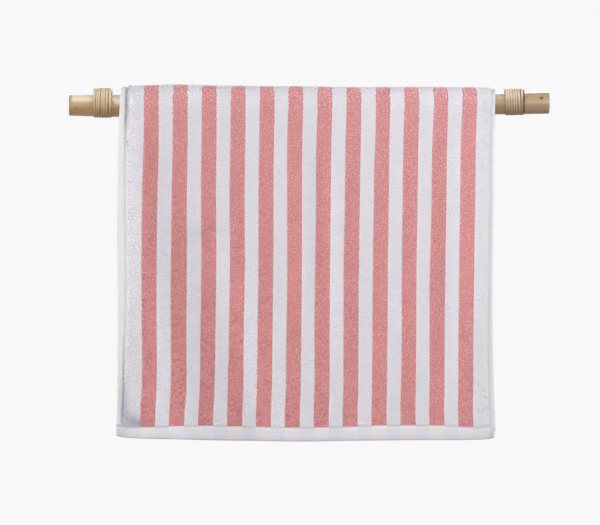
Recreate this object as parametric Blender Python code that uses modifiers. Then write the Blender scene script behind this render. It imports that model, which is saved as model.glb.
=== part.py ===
# A terry hand towel folded over a natural wooden rod, with a rattan winding round the rod near each end.
# Frame: the origin is on the rod's axis at mid length, +X runs along the rod, -Y faces the viewer, +Z is up.
# Tables are in millimetres, everything else is in metres.
import math
from collections import namedtuple

import bmesh
import bpy
from mathutils import Vector

MM = 0.001

# The cloth as it was cut
TOWEL_WIDTH = 0.500
FRONT_DROP = 0.444
BACK_DROP = 0.438
TERRY_THICKNESS = 0.0060
HEM_THICKNESS = 0.0028
SIDE_HEM = 0.0115
END_HEM = 0.0175
HEM_STEP = 0.0035

# The way it hangs
ROD_CLEARANCE = 0.0028
FLAP_LEAN = 0.0040
SHOULDER_DROP = 0.080
FOLD_FADE = 0.040
FOLD_FREE = 0.060

# The rod and its windings
ROD_LENGTH = 0.634
ROD_RADIUS = 0.0141
ROD_CHAMFER = 0.0008
ROD_SIDES = 20
ROD_STEPS = 20
WINDING_GAP = 0.00035
WINDING_TURNS = 7
WINDING_STEPS = 28
GROOVE_DEPTH = 0.0009
MERGE_DISTANCE = 0.00001
SHARP_DEGREES = 50.0

# Grid of the cloth's middle surface
FIELD_COLUMNS = 36
FRONT_ROWS = 22
CREST_ROWS = 12
BACK_ROWS = 16
CREST_LENGTH = math.pi * 0.0210
TOWEL_LENGTH = FRONT_DROP + CREST_LENGTH + BACK_DROP

# Top of the fold and lowest edge of each flap, across the towel from its left edge
Hang = namedtuple("Hang", "across crest front_hem back_hem")
HANG = [
    Hang(0, 21.4, -436.5, -431.0),
    Hang(15, 23.6, -439.6, -433.5),
    Hang(45, 26.4, -440.8, -435.0),
    Hang(80, 27.5, -441.2, -436.2),
    Hang(130, 26.1, -442.6, -437.0),
    Hang(200, 25.5, -444.0, -438.0),
    Hang(255, 25.0, -444.3, -437.5),
    Hang(310, 24.1, -443.3, -436.5),
    Hang(390, 24.5, -442.5, -436.0),
    Hang(450, 23.9, -442.4, -435.0),
    Hang(484, 23.3, -441.6, -434.0),
    Hang(500, 20.2, -439.5, -432.0),
]

# Side edges of the front and the back flap at each height
Edges = namedtuple("Edges", "height left right back_left back_right")
EDGES = [
    Edges(-442, -254.3, 244.4, -251.5, 247.6),
    Edges(-424, -254.8, 245.0, -251.8, 247.4),
    Edges(-390, -253.6, 242.9, -252.0, 245.6),
    Edges(-284, -252.9, 241.8, -252.4, 243.6),
    Edges(-126, -253.3, 243.5, -252.8, 243.4),
    Edges(-47, -251.9, 243.9, -251.9, 244.0),
    Edges(0, -249.5, 246.2, -249.5, 246.2),
    Edges(26, -248.3, 247.0, -248.3, 247.0),
]

# Soft folds: a crease runs from its top to its low point, and a positive depth stands out of the cloth
Fold = namedtuple("Fold", "top_x top_z low_x low_z top_width low_width depth")
FRONT_FOLDS = [
    Fold(-224, -40, -188, -420, 18, 46, 7.0),
    Fold(-150, -190, -88, -460, 26, 26, -3.5),
    Fold(-10, -90, -4, -260, 12, 13, 1.8),
    Fold(12, -30, 20, -240, 10, 11, -1.5),
    Fold(38, -120, 44, -310, 12, 12, 1.6),
    Fold(182, -70, 180, -330, 16, 15, -2.4),
    Fold(228, -70, 222, -300, 16, 18, 1.8),
    Fold(-243, -395, -238, -430, 14, 14, -3.0),
    Fold(128, -300, 120, -460, 24, 30, 1.6),
]
BACK_FOLDS = [
    Fold(-160, -60, -200, -460, 24, 44, 5.0),
    Fold(-60, -120, -90, -460, 22, 30, -3.0),
    Fold(70, -50, 96, -460, 18, 38, 4.0),
    Fold(190, -90, 178, -460, 20, 26, -2.6),
]

# The rod's natural run: height of its axis and its radius along its length
Bow = namedtuple("Bow", "along axis radius")
ROD_BOW = [
    Bow(-317, -0.9, 13.7),
    Bow(-300, -1.1, 13.9),
    Bow(-258, -1.6, 14.6),
    Bow(-130, -0.9, 14.3),
    Bow(0, 0.0, 14.1),
    Bow(130, 0.6, 14.0),
    Bow(250, 1.2, 14.0),
    Bow(298, 2.0, 14.2),
    Bow(317, 2.5, 14.4),
]

# Each winding: its left edge, its right edge on top and underneath, and how far it stands off the rod
Winding = namedtuple("Winding", "name left right_top right_under proud_top proud_under")
WINDINGS = [
    Winding("binding_left", -284.5, -260.8, -263.2, 8.0, 1.1),
    Winding("binding_right", 258.8, 283.9, 283.3, 5.6, 1.1),
]

# Finishes: colour, roughness
FINISHES = {
    "terry_cloth": ((0.76, 0.50, 0.50, 1.0), 0.95),
    "natural_wood": ((0.52, 0.36, 0.21, 1.0), 0.50),
    "rattan": ((0.58, 0.41, 0.24, 1.0), 0.60),
}


def mix(low, high, share):
    """The value a share of the way from low to high."""
    return low + (high - low) * share


def soft_step(value):
    """0 below 0, 1 above 1, and an easy rise between."""
    value = min(max(value, 0.0), 1.0)
    return value * value * (3.0 - 2.0 * value)


def read_table(table, column, place):
    """A smooth curve through one column of a table in millimetres, read at a place in metres."""
    at = place / MM
    places = [row[0] for row in table]
    values = [getattr(row, column) for row in table]
    at = min(max(at, places[0]), places[-1])
    row = max(index for index in range(len(table) - 1) if places[index] <= at)
    span = places[row + 1] - places[row]

    def slope(index):
        before = max(index - 1, 0)
        after = min(index + 1, len(table) - 1)
        return (values[after] - values[before]) / (places[after] - places[before])

    share = (at - places[row]) / span
    rise = soft_step(share)
    lead_in = share * (1.0 - share) ** 2 * span * slope(row)
    lead_out = share ** 2 * (share - 1.0) * span * slope(row + 1)
    return (mix(values[row], values[row + 1], rise) + lead_in + lead_out) * MM


def new_collection(name):
    collection = bpy.data.collections.new(name)
    bpy.context.scene.collection.children.link(collection)
    return collection


def new_material(slot):
    colour, roughness = FINISHES[slot]
    material = bpy.data.materials.new(slot)
    material.use_nodes = True
    shader = material.node_tree.nodes["Principled BSDF"]
    shader.inputs["Base Color"].default_value = colour
    shader.inputs["Roughness"].default_value = roughness
    shader.inputs["Metallic"].default_value = 0.0
    return material


def add_object(name, data, material, collection):
    piece = bpy.data.objects.new(name, data)
    data.materials.append(material)
    collection.objects.link(piece)
    return piece


def mapped_grid(columns, rows, place):
    """A grid of quads with each corner at place(column, row), and a list of the corners so named."""
    grid = bmesh.new()
    bmesh.ops.create_grid(grid, x_segments=columns, y_segments=rows, size=0.5)
    corners = []
    for vertex in grid.verts:
        corners.append((round((vertex.co.x + 0.5) * columns), round((vertex.co.y + 0.5) * rows)))
        vertex.co = place(*corners[-1])
    return grid, corners


def finished_mesh(grid, name):
    """The grid as a smooth-shaded mesh."""
    mesh = bpy.data.meshes.new(name)
    grid.to_mesh(mesh)
    grid.free()
    mesh.shade_smooth()
    return mesh


def pile_share(across, along):
    """0 on the flat hems, 1 on the terry, with a short step between."""
    from_side = min(across, TOWEL_WIDTH - across) - SIDE_HEM
    from_end = min(along, TOWEL_LENGTH - along) - END_HEM
    return min(max(min(from_side, from_end) / HEM_STEP, 0.0), 1.0)


def fold_depth(folds, x, z):
    """How far the soft folds push the hanging cloth outwards."""
    depth = 0.0
    for fold in folds:
        top_z = fold.top_z * MM
        low_z = fold.low_z * MM
        share = min(max((top_z - z) / (top_z - low_z), 0.0), 1.0)
        centre = mix(fold.top_x, fold.low_x, share) * MM
        width = mix(fold.top_width, fold.low_width, share) * MM
        above = soft_step(1.0 - (z - top_z) / FOLD_FADE)
        below = soft_step(1.0 - (low_z - z) / FOLD_FADE)
        depth += fold.depth * MM * above * below * math.exp(-((x - centre) / width) ** 2)
    return depth * soft_step(-z / FOLD_FREE)


def hanging_point(across, hem, share, side):
    """A point of one flap, a share of the way up from its hem; side is -1 in front and 1 behind."""
    z = mix(hem, 0.0, share)
    left, right = ("left", "right") if side < 0 else ("back_left", "back_right")
    x = mix(read_table(EDGES, left, z), read_table(EDGES, right, z), across / TOWEL_WIDTH)
    terry_depth = ROD_RADIUS + ROD_CLEARANCE + TERRY_THICKNESS / 2.0
    bare = 1.0 - pile_share(across, TOWEL_LENGTH / 2.0)
    hem_inset = bare * (TERRY_THICKNESS - HEM_THICKNESS) / 2.0 * soft_step(1.0 + z / SHOULDER_DROP)
    lean = FLAP_LEAN * soft_step(1.0 - share)
    folds = FRONT_FOLDS if side < 0 else BACK_FOLDS
    return Vector((x, side * (terry_depth - hem_inset - lean + fold_depth(folds, x, z)), z))


def crest_point(across, turn):
    """A point of the cloth over the rod, as turn goes from 0 in front to 1 behind."""
    terry = pile_share(across, TOWEL_LENGTH / 2.0)
    half_thickness = mix(HEM_THICKNESS, TERRY_THICKNESS, terry) / 2.0
    half_depth = ROD_RADIUS + ROD_CLEARANCE + half_thickness
    height = read_table(HANG, "crest", across) - half_thickness
    z = height * math.sin(math.pi * turn)
    x = mix(read_table(EDGES, "left", z), read_table(EDGES, "right", z), across / TOWEL_WIDTH)
    return Vector((x, -half_depth * math.cos(math.pi * turn), z))


def cloth_point(across, along):
    """Where the cloth's middle hangs, across it from the left edge and along it from the front hem."""
    if along <= FRONT_DROP:
        return hanging_point(across, read_table(HANG, "front_hem", across), along / FRONT_DROP, -1)
    if along >= FRONT_DROP + CREST_LENGTH:
        share = (TOWEL_LENGTH - along) / BACK_DROP
        return hanging_point(across, read_table(HANG, "back_hem", across), share, 1)
    return crest_point(across, (along - FRONT_DROP) / CREST_LENGTH)


def even_places(low, high, count):
    return [mix(low, high, index / count) for index in range(count + 1)]


def cloth_columns():
    """Places across the towel: the hem, its step, and even places over the terry."""
    edge = SIDE_HEM + HEM_STEP
    field = even_places(edge, TOWEL_WIDTH - edge, FIELD_COLUMNS)
    return [0.0, SIDE_HEM] + field + [TOWEL_WIDTH - SIDE_HEM, TOWEL_WIDTH]


def cloth_rows():
    """Places along the towel: front hem, front flap, crest, back flap and back hem."""
    edge = END_HEM + HEM_STEP
    crest_end = FRONT_DROP + CREST_LENGTH
    front = even_places(edge, FRONT_DROP, FRONT_ROWS)
    crest = even_places(FRONT_DROP, crest_end, CREST_ROWS)[1:-1]
    back = even_places(crest_end, TOWEL_LENGTH - edge, BACK_ROWS)
    return [0.0, END_HEM] + front + crest + back + [TOWEL_LENGTH - END_HEM, TOWEL_LENGTH]


def make_towel(material, collection):
    """One sheet in its folds, thick on the terry and thin on the hems."""
    columns = cloth_columns()
    rows = cloth_rows()

    def place(column, row):
        return cloth_point(columns[column], rows[row])

    grid, corners = mapped_grid(len(columns) - 1, len(rows) - 1, place)
    towel = add_object("towel", finished_mesh(grid, "towel"), material, collection)
    terry = towel.vertex_groups.new(name="terry")
    for index, (column, row) in enumerate(corners):
        terry.add([index], pile_share(columns[column], rows[row]), "REPLACE")
    solid = towel.modifiers.new("cloth thickness", "SOLIDIFY")
    solid.thickness = TERRY_THICKNESS
    solid.offset = 0.0
    solid.use_even_offset = True
    solid.vertex_group = terry.name
    solid.thickness_vertex_group = HEM_THICKNESS / TERRY_THICKNESS
    return towel


def make_rod(material, collection):
    """A round rod on its natural bow, cut straight at both ends."""
    half = ROD_LENGTH / 2.0
    inner = half - ROD_CHAMFER
    places = [-half] + even_places(-inner, inner, ROD_STEPS) + [half]
    curve = bpy.data.curves.new("rod", "CURVE")
    curve.dimensions = "3D"
    curve.bevel_depth = ROD_RADIUS
    curve.bevel_resolution = ROD_SIDES // 2 - 2
    curve.use_fill_caps = True
    spline = curve.splines.new("POLY")
    spline.points.add(len(places) - 1)
    for point, x in zip(spline.points, places):
        inside = min(max(x, -inner), inner)
        chamfer = abs(x - inside)
        point.co = (x, 0.0, read_table(ROD_BOW, "axis", inside), 1.0)
        point.radius = (read_table(ROD_BOW, "radius", inside) - chamfer) / ROD_RADIUS
    return add_object("rod", curve, material, collection)


def winding_profile():
    """Corners of a winding's section: how far across it from 0 to 1, and what the corner belongs to."""
    corners = []
    for turn in range(WINDING_TURNS):
        for share, part in ((0.0, "groove"), (0.25, "strand"), (0.75, "strand")):
            corners.append(((turn + share) / WINDING_TURNS, part))
    return corners + [(1.0, "groove"), (1.0, "bore"), (0.0, "bore")]


def make_winding(winding, material, collection):
    """Turns of one strand side by side, raised over its tucked end on top of the rod."""
    profile = winding_profile()

    def place(step, corner):
        angle = 2.0 * math.pi * (step % WINDING_STEPS) / WINDING_STEPS
        upward = (1.0 + math.sin(angle)) / 2.0
        across, part = profile[corner % len(profile)]
        right = mix(winding.right_under, winding.right_top, upward)
        x = mix(winding.left, right, across) * MM
        wall = mix(winding.proud_under, winding.proud_top, upward ** 2) * MM - WINDING_GAP
        height = {"bore": 0.0, "groove": wall - min(GROOVE_DEPTH, wall / 2.0), "strand": wall}[part]
        radius = read_table(ROD_BOW, "radius", x) + WINDING_GAP + height
        axis = read_table(ROD_BOW, "axis", x)
        return Vector((x, -radius * math.cos(angle), axis + radius * math.sin(angle)))

    grid = mapped_grid(WINDING_STEPS, len(profile), place)[0]
    bmesh.ops.remove_doubles(grid, verts=grid.verts, dist=MERGE_DISTANCE)
    bmesh.ops.recalc_face_normals(grid, faces=grid.faces)
    mesh = finished_mesh(grid, winding.name)
    mesh.set_sharp_from_angle(angle=math.radians(SHARP_DEGREES))
    return add_object(winding.name, mesh, material, collection)


def main():
    for old in list(bpy.data.objects):
        bpy.data.objects.remove(old)
    collection = new_collection("towel_on_rod")
    make_towel(new_material("terry_cloth"), collection)
    make_rod(new_material("natural_wood"), collection)
    rattan = new_material("rattan")
    for winding in WINDINGS:
        make_winding(winding, rattan, collection)


main()
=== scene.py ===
# Looks of a striped terry hand towel folded over a natural wooden rod, with a rattan winding near each end.
# The frame is the part's own: origin on the rod's axis at mid length, +X along it, -Y to the viewer, +Z up.
# Lengths are in metres. The tables of places on the cloth, the rod and the windings are in millimetres.
import math
from collections import namedtuple

import bmesh
import bpy
import numpy as np
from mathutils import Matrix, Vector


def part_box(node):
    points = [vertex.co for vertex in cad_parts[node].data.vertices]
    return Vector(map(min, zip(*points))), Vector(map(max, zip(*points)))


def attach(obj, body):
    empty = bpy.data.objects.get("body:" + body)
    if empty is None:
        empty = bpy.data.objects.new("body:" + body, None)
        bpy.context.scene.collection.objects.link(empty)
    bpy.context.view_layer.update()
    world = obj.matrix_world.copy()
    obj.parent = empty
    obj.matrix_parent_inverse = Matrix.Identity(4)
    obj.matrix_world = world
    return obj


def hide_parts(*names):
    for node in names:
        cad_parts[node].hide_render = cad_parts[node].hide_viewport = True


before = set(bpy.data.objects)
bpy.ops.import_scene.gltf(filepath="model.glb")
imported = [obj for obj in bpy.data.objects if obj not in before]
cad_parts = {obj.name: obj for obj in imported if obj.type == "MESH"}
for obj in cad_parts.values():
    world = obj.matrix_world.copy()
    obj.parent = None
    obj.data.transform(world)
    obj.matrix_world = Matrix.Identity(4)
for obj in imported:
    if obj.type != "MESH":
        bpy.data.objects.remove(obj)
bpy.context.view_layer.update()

MM = 0.001
PATCHES = 512
PATCH_START = 8.0

# The cloth as it was cut, and the way it hangs
TOWEL_WIDTH = 0.500
FRONT_DROP = 0.444
BACK_DROP = 0.438
CREST_RADIUS = 0.0210
CREST_LENGTH = math.pi * CREST_RADIUS
TOWEL_LENGTH = FRONT_DROP + CREST_LENGTH + BACK_DROP
CREST_END = FRONT_DROP + CREST_LENGTH
TERRY_THICKNESS = 0.0060
HEM_THICKNESS = 0.0028
SIDE_HEM = 0.0115
RIGHT_HEM = 0.0078
END_HEM = 0.0175
END_HEM_SHOWN = 0.0165
HEM_STEP = 0.0035
WEAVE_PITCH = 0.00070
ROD_RADIUS = 0.0141
ROD_CLEARANCE = 0.0028
FLAP_LEAN = 0.0040
# How far down the thin hems still lie close to the rod, how far the folds fade past their ends, and how far
# down the cloth becomes free to fold
SHOULDER_DROP = 0.080
FOLD_FADE = 0.040
FOLD_FREE = 0.060

# The right hem turns back in a small round, and less far on the back flap
CURL_LENGTH = 0.0085
CURL_RADIUS = 0.0058
BACK_CURL = 0.45

# Faces of the sheet: their heights from its middle, the stitched groove, the rise from the hems to the terry,
# and the rounds at the rims and corners
GROUND_HEIGHT = 0.0012
INNER_HEIGHT = 0.0022
GROOVE_WIDTH = 0.0013
END_GROOVE = 0.0009
# The left hem's own groove passes into the other hems' one over this stretch
GROOVE_BLEND = (0.012, 0.020)
FIELD_RISE = 0.0040
SIDE_RIM = 0.0014
END_RIM = 0.0042
CORNER_RADIUS = 0.0060
# Steps of the sheet's mesh across and along: finer at the hems and over the rod
HEM_COLUMN = 0.0011
FIELD_COLUMN = 0.0060
HEM_ROW = 0.0014
FRONT_ROW = 0.0058
CREST_ROW = 0.0028
BACK_ROW = 0.0070
CREST_MARGIN = 0.010

# Top of the fold and lowest edge of each flap, across the towel from its left edge
Hang = namedtuple("Hang", "across crest front_hem back_hem")
HANG = [
    Hang(0, 22.4, -436.5, -431.0),
    Hang(5, 24.0, -438.0, -431.8),
    Hang(15, 25.6, -439.6, -433.5),
    Hang(45, 26.9, -440.8, -435.0),
    Hang(80, 27.5, -441.2, -436.2),
    Hang(130, 26.1, -442.6, -437.0),
    Hang(200, 25.5, -444.0, -438.0),
    Hang(255, 25.0, -444.3, -437.5),
    Hang(310, 24.1, -443.3, -436.5),
    Hang(390, 24.5, -442.5, -436.0),
    Hang(450, 23.9, -442.4, -435.0),
    Hang(484, 23.3, -441.6, -434.0),
    Hang(500, 20.2, -439.5, -432.0),
]

# Side edges of the front and the back flap at each height
Edges = namedtuple("Edges", "height left right back_left back_right")
EDGES = [
    Edges(-442, -254.3, 244.4, -251.5, 247.6),
    Edges(-424, -254.8, 245.0, -251.8, 247.4),
    Edges(-390, -253.6, 242.9, -252.0, 245.6),
    Edges(-284, -252.9, 241.8, -252.4, 243.6),
    Edges(-126, -253.3, 243.5, -252.8, 243.4),
    Edges(-47, -251.9, 243.9, -251.9, 244.0),
    Edges(0, -249.5, 246.2, -249.5, 246.2),
    Edges(26, -248.3, 247.0, -248.3, 247.0),
]

# Soft folds: each runs from its top to its low point, with its width at both, and a positive depth
# stands out of the cloth
Fold = namedtuple("Fold", "top_x top_z low_x low_z top_width low_width depth")
FRONT_FOLDS = [
    Fold(-224, -40, -209, -215, 18, 28, 5.4),
    Fold(-198, -255, -154, -440, 30, 38, 6.0),
    Fold(-142, -190, -57, -460, 31, 24, -7.0),
    Fold(-10, -90, -4, -260, 12, 13, 1.8),
    Fold(12, -30, 20, -240, 10, 11, -1.5),
    Fold(38, -120, 44, -310, 12, 12, 1.6),
    Fold(182, -70, 180, -330, 16, 15, -2.4),
    Fold(228, -70, 222, -300, 16, 18, 1.8),
    Fold(-243, -395, -238, -430, 14, 14, -3.0),
    Fold(110, -300, 104, -460, 22, 34, 1.6),
]
BACK_FOLDS = [
    Fold(-160, -60, -200, -460, 24, 44, 5.0),
    Fold(-60, -120, -90, -460, 22, 30, -3.0),
    Fold(70, -50, 96, -460, 18, 38, 4.0),
    Fold(190, -90, 178, -460, 20, 26, -2.6),
]

# Width of the left hem along the cloth from the front hem, and how deep its stitched groove sinks
LeftHem = namedtuple("LeftHem", "along width groove")
LEFT_HEM = [
    LeftHem(0, 9.2, 1.1),
    LeftHem(35, 9.2, 2.0),
    LeftHem(66, 9.9, 1.9),
    LeftHem(105, 10.6, 1.4),
    LeftHem(160, 13.0, 0.9),
    LeftHem(265, 13.5, 0.8),
    LeftHem(390, 11.8, 1.4),
    LeftHem(440, 9.9, 2.3),
    LeftHem(470, 9.9, 2.2),
    LeftHem(560, 10.8, 1.4),
    LeftHem(948, 10.8, 1.4),
]

# Spots on the cloth: the middle of each, its reach and its strength
Spot = namedtuple("Spot", "across along reach_across reach_along strength")
# Painted shade: grey smudges in the dented places beside the left hem, and along its groove near the fold
# over the rod
PAINTED_DENT_SHADES = [
    Spot(12, 34, 7, 16, 0.38),
    Spot(21, 22, 10, 9, 0.80),
    Spot(9, 58, 4, 26, 0.58),
    Spot(37, 20, 11, 6, 0.95),
    Spot(10.5, 434, 2.8, 38, 0.80),
]
# Places on the white margins where the pile stands rough and is flecked with painted shade
ROUGH_PILE_AND_PAINTED_SHADE = [
    Spot(483, 385, 7, 60, 0.7),
    Spot(480, 58, 14, 44, 1.0),
    Spot(11, 112, 4, 18, 0.8),
    Spot(12, 400, 4, 20, 1.2),
]

# Width of the front hem, across the towel
FrontHem = namedtuple("FrontHem", "across width")
FRONT_HEM = [
    FrontHem(0, 15.0),
    FrontHem(35, 15.4),
    FrontHem(75, 17.5),
    FrontHem(115, 19.0),
    FrontHem(190, 18.6),
    FrontHem(310, 18.6),
    FrontHem(350, 20.0),
    FrontHem(430, 19.3),
    FrontHem(465, 16.8),
    FrontHem(500, 16.5),
]

# Coral stripes across the towel, which look a little narrower near the fold and near the front hem
STRIPES = 12
FIRST_STRIPE = 0.0312
STRIPE_PITCH = 0.0382
STRIPE_WIDTH = 0.0198
# The outermost places that can be coral
STRIPES_FROM = FIRST_STRIPE - 0.004
STRIPES_TO = FIRST_STRIPE + (STRIPES - 0.2) * STRIPE_PITCH
# Along the cloth from the front hem: the stripes' width, and how far to the right the first and the last of
# them lie
Stripes = namedtuple("Stripes", "along width first last")
STRIPE_RUN = [
    Stripes(0, 19.4, 1.1, -1.5),
    Stripes(34, 19.8, 1.0, -1.0),
    Stripes(67, 19.9, 2.3, 0.6),
    Stripes(107, 19.9, 2.8, 1.2),
    Stripes(173, 20.6, 2.7, 1.9),
    Stripes(245, 20.7, 3.1, 2.0),
    Stripes(318, 19.8, 3.4, 2.4),
    Stripes(397, 18.9, 3.3, 2.8),
    Stripes(452, 16.8, 0.2, 2.2),
    Stripes(472, 16.6, -0.3, 1.8),
    Stripes(560, 19.6, 0.0, 0.0),
    Stripes(948, 19.6, 0.0, 0.0),
]
# Places where stripes wander off that run: the strength is how many millimetres they lie further right
STRIPE_WANDER = [
    Spot(41, 235, 22, 130, -1.6),
    Spot(71, 205, 12, 80, -1.0),
    Spot(89, 70, 12, 35, 1.2),
    Spot(122, 245, 20, 75, 1.5),
    Spot(145, 80, 12, 35, -1.4),
    Spot(158, 225, 20, 60, 1.3),
    Spot(200, 240, 30, 70, 0.7),
    Spot(232, 390, 20, 50, -1.2),
    Spot(236, 200, 20, 60, 0.8),
    Spot(262, 180, 12, 90, -0.9),
    Spot(270, 370, 18, 50, -0.8),
    Spot(305, 210, 18, 90, -0.7),
    Spot(337, 405, 12, 35, 1.3),
    Spot(376, 140, 14, 55, 0.9),
    Spot(413, 200, 12, 65, -0.9),
    Spot(413, 435, 14, 40, 0.9),
]
# Where the last stripe is thinner: the strength is how many millimetres each of its edges draws in
THIN_STRIPE = [Spot(461, 185, 20, 120, 1.3)]

# Loops of the pile: on which face they stand (1 outer, -1 inner), from where to where along the cloth, how
# far apart, how tall above the ground cloth, and how far in from the hems they reach
Pile = namedtuple("Pile", "name face start end pitch height border")
PILES = [
    Pile("front_pile", 1, 0.0, FRONT_DROP, 0.0026, 0.0021, 1.0),
    Pile("crest_pile", 1, FRONT_DROP, CREST_END, 0.0027, 0.0020, 1.0),
    Pile("back_pile", 1, CREST_END, TOWEL_LENGTH, 0.0031, 0.0022, 1.0),
    Pile("inner_front_pile", -1, 0.0, FRONT_DROP - 0.03, 0.0036, 0.0013, 0.050),
    Pile("inner_back_pile", -1, CREST_END + 0.03, TOWEL_LENGTH, 0.0036, 0.0013, 0.050),
]
# One loop's spans and sides, and how deep it is rooted in the ground cloth
LOOP_SPANS = 2
LOOP_SIDES = 3
LOOP_ROOT = 0.0003
# Shares of a pile's pitch: half a loop's width, its yarn's radius, how far loops stray from their rows, and
# how far they move off the stripes' edges
LOOP_REACH = 0.38
CORAL_YARN_SHARE = 0.25
WHITE_YARN_SHARE = 0.31
LOOP_SCATTER = 0.32
EDGE_GAP = 0.30
# The coral loops stand less evenly near the front hem than on top, and more upright at the stripes' edges
LOW_ROUGHNESS = 1.80
TOP_ROUGHNESS = 0.55
WHITE_ROUGHNESS = 0.22
SPOT_ROUGHNESS = 0.80
EDGE_REACH = 0.0026
PILE_SEED = 7
# How loops differ: the size of the patches in which they are alike, and how much they differ from patch to
# patch and from loop to loop
Vary = namedtuple("Vary", "size by_patch by_loop")
LOOP_TURN = Vary(0.0042, math.pi, 1.2)
LOOP_LEAN = Vary(0.0046, 0.55, 0.25)
LOOP_GROWTH = Vary(0.0060, 0.18, 0.16)
YARN_SPREAD = 0.10
CELL_EDGE = 0.12
SPECK_SIZE = 0.0036
SPECK_SEED = 5

# Stitches along the hems
STITCH_PITCH = 0.0034
STITCH_LENGTH = 0.0025
STITCH_RADIUS = 0.00028
STITCH_INSET = 0.0016
STITCH_RINGS = 4
STITCH_SIDES = 5

# The rod's natural run: height of its axis and its radius along its length
Bow = namedtuple("Bow", "along axis radius")
ROD_BOW = [
    Bow(-317, -0.9, 13.7),
    Bow(-300, -1.1, 13.9),
    Bow(-258, -1.6, 14.6),
    Bow(-130, -0.9, 14.3),
    Bow(0, 0.0, 14.1),
    Bow(130, 0.6, 14.0),
    Bow(250, 1.2, 14.0),
    Bow(298, 2.0, 14.2),
    Bow(317, 2.5, 14.4),
]
ROD_ROWS = 150
ROD_SIDES = 64
ROD_FACE_ROWS = 7
ROD_EDGE = 0.0010
ROD_EDGE_ROWS = 4
ROD_WAVES = 0.00016
ROD_SEED = 21

# Marks on the rod: the middle of each, its reach along the rod and round it, and how strongly it shows
Mark = namedtuple("Mark", "x z length height strength")
KNOT = Mark(306.3, 7.9, 3.9, 3.6, 1.0)
GRAIN_LINE = Mark(307.0, 10.7, 15.0, 1.1, 0.65)
OCHRE_MARKS = [Mark(-307.0, -5.0, 5.5, 5.0, 0.75), Mark(-291.0, -3.5, 11.0, 5.0, 0.55)]
# Painted light: pale patches on top of the rod between the towel and each winding, lifting the shadow there
PAINTED_LIGHT_MARKS = [Mark(254.0, 10.5, 13.0, 6.5, 0.85), Mark(-252.0, 8.0, 10.0, 11.0, 1.00)]
PAINTED_LIGHT_WOODS = [(0.700, 0.530, 0.350, 1.0), (1.000, 0.860, 0.680, 1.0)]

# Windings: places of the turns from the winding's left edge, and how far they stand off the rod.
# A slant of 1 lets each turn lean right as it comes up in front, -1 left.
Winding = namedtuple("Winding", "node turns width proud_top proud_under slant")
WINDINGS = [
    Winding("binding_left", (1.3, 4.3, 7.2, 11.0, 14.1, 17.4, 22.1), 3.20, 8.9, 1.3, 1),
    Winding("binding_right", (1.2, 4.6, 7.9, 11.1, 14.3, 18.0, 22.3), 3.10, 6.4, 1.3, -1),
]
STRAND_THICKNESS = 0.0011
STRAND_SIDES = 10
STRAND_STEPS = 56
STRAND_LIFT = 0.00012
STRAND_SEED = 40
# The strand narrows over its last stretch, and its end sinks under its neighbour
TAPER_LENGTH = 0.004
SUNK_LENGTH = 0.006
SUNK_DEPTH = 0.0006
TUCK_RADIUS = 0.0011
TUCK_SIDES = 12
TUCK_GAP = 0.0002
TUCK_SPACING = 2.05 * TUCK_RADIUS
TUCK_ROUNDING = (-0.0004, -0.0001, 0.0003)

# The picture's frame: its width at the cloth, the middle of it, and how far off the camera stands
PIXEL = 0.001319
PICTURE_PIXELS = 600
PICTURE_WIDTH = PICTURE_PIXELS * PIXEL
CAMERA_DISTANCE = 5.0
CAMERA_AIM = (-0.0122, -0.010, -0.2085)
SENSOR_WIDTH = 36.0

# The studio floor, well under the towel
FLOOR_HEIGHT = -1.45
FLOOR_SIZE = 20.0
FLOOR_GLOWS = [(0.86, 0.86, 0.86, 1.0), (0.88, 0.88, 0.88, 1.0)]
FLOOR_GREY = (0.40, 0.40, 0.40, 1.0)

# The even pale room as the camera sees it, and the light that it gives
ROOM_SHOWN = 0.939
ROOM_LIGHT = 0.18
# Square soft boxes that face a point of the towel: where each stands (azimuth 0 in front and 90 at the right,
# elevation, distance), its size and its power
LIGHT_AIM = -0.20
Light = namedtuple("Light", "name azimuth elevation distance size power")
LIGHTS = [
    Light("front", 0, 6, 3.5, 1.6, 41.0),
    Light("left", -72, 8, 3.5, 2.2, 103.0),
    Light("right", 45, 18, 1.55, 0.8, 10.0),
    Light("rim", 104, 8, 2.5, 1.0, 24.0),
    Light("above", -30, 60, 3.5, 0.5, 10.0),
    Light("low", 0, -42, 3.0, 2.0, 2.5),
    Light("back", 165, 25, 3.5, 2.0, 90.0),
]


def mix(low, high, share):
    """The value a share of the way from low to high."""
    return low + (high - low) * share


def soft_step(value):
    """0 below 0, 1 above 1, and an easy rise between."""
    value = np.clip(value, 0.0, 1.0)
    return value * value * (3.0 - 2.0 * value)


def read_table(table, column, place):
    """A smooth curve through one column of a table in millimetres, read at places in metres."""
    places = np.array([row[0] for row in table], float)
    values = np.array([getattr(row, column) for row in table], float)
    index = np.arange(len(places))
    before = np.maximum(index - 1, 0)
    after = np.minimum(index + 1, len(places) - 1)
    slopes = (values[after] - values[before]) / (places[after] - places[before])
    at = np.clip(np.asarray(place) / MM, places[0], places[-1])
    row = np.clip(np.searchsorted(places, at, side="right") - 1, 0, len(places) - 2)
    span = places[row + 1] - places[row]
    share = (at - places[row]) / span
    lead_in = share * (1.0 - share) ** 2 * span * slopes[row]
    lead_out = share ** 2 * (share - 1.0) * span * slopes[row + 1]
    return (mix(values[row], values[row + 1], soft_step(share)) + lead_in + lead_out) * MM


def patchy(across, along, size, seed):
    """Smooth random numbers from -1 to 1 over the cloth, in patches of about that size."""
    draws = np.random.default_rng(seed).uniform(-1.0, 1.0, (PATCHES, PATCHES))
    column = np.asarray(across) / size + PATCH_START
    row = np.asarray(along) / size + PATCH_START
    left = np.floor(column).astype(int)
    low = np.floor(row).astype(int)

    def draw(up, right):
        return draws[(low + up) % PATCHES, (left + right) % PATCHES]

    across_share = soft_step(column - left)
    lower = mix(draw(0, 0), draw(0, 1), across_share)
    upper = mix(draw(1, 0), draw(1, 1), across_share)
    return mix(lower, upper, soft_step(row - low))


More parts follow.
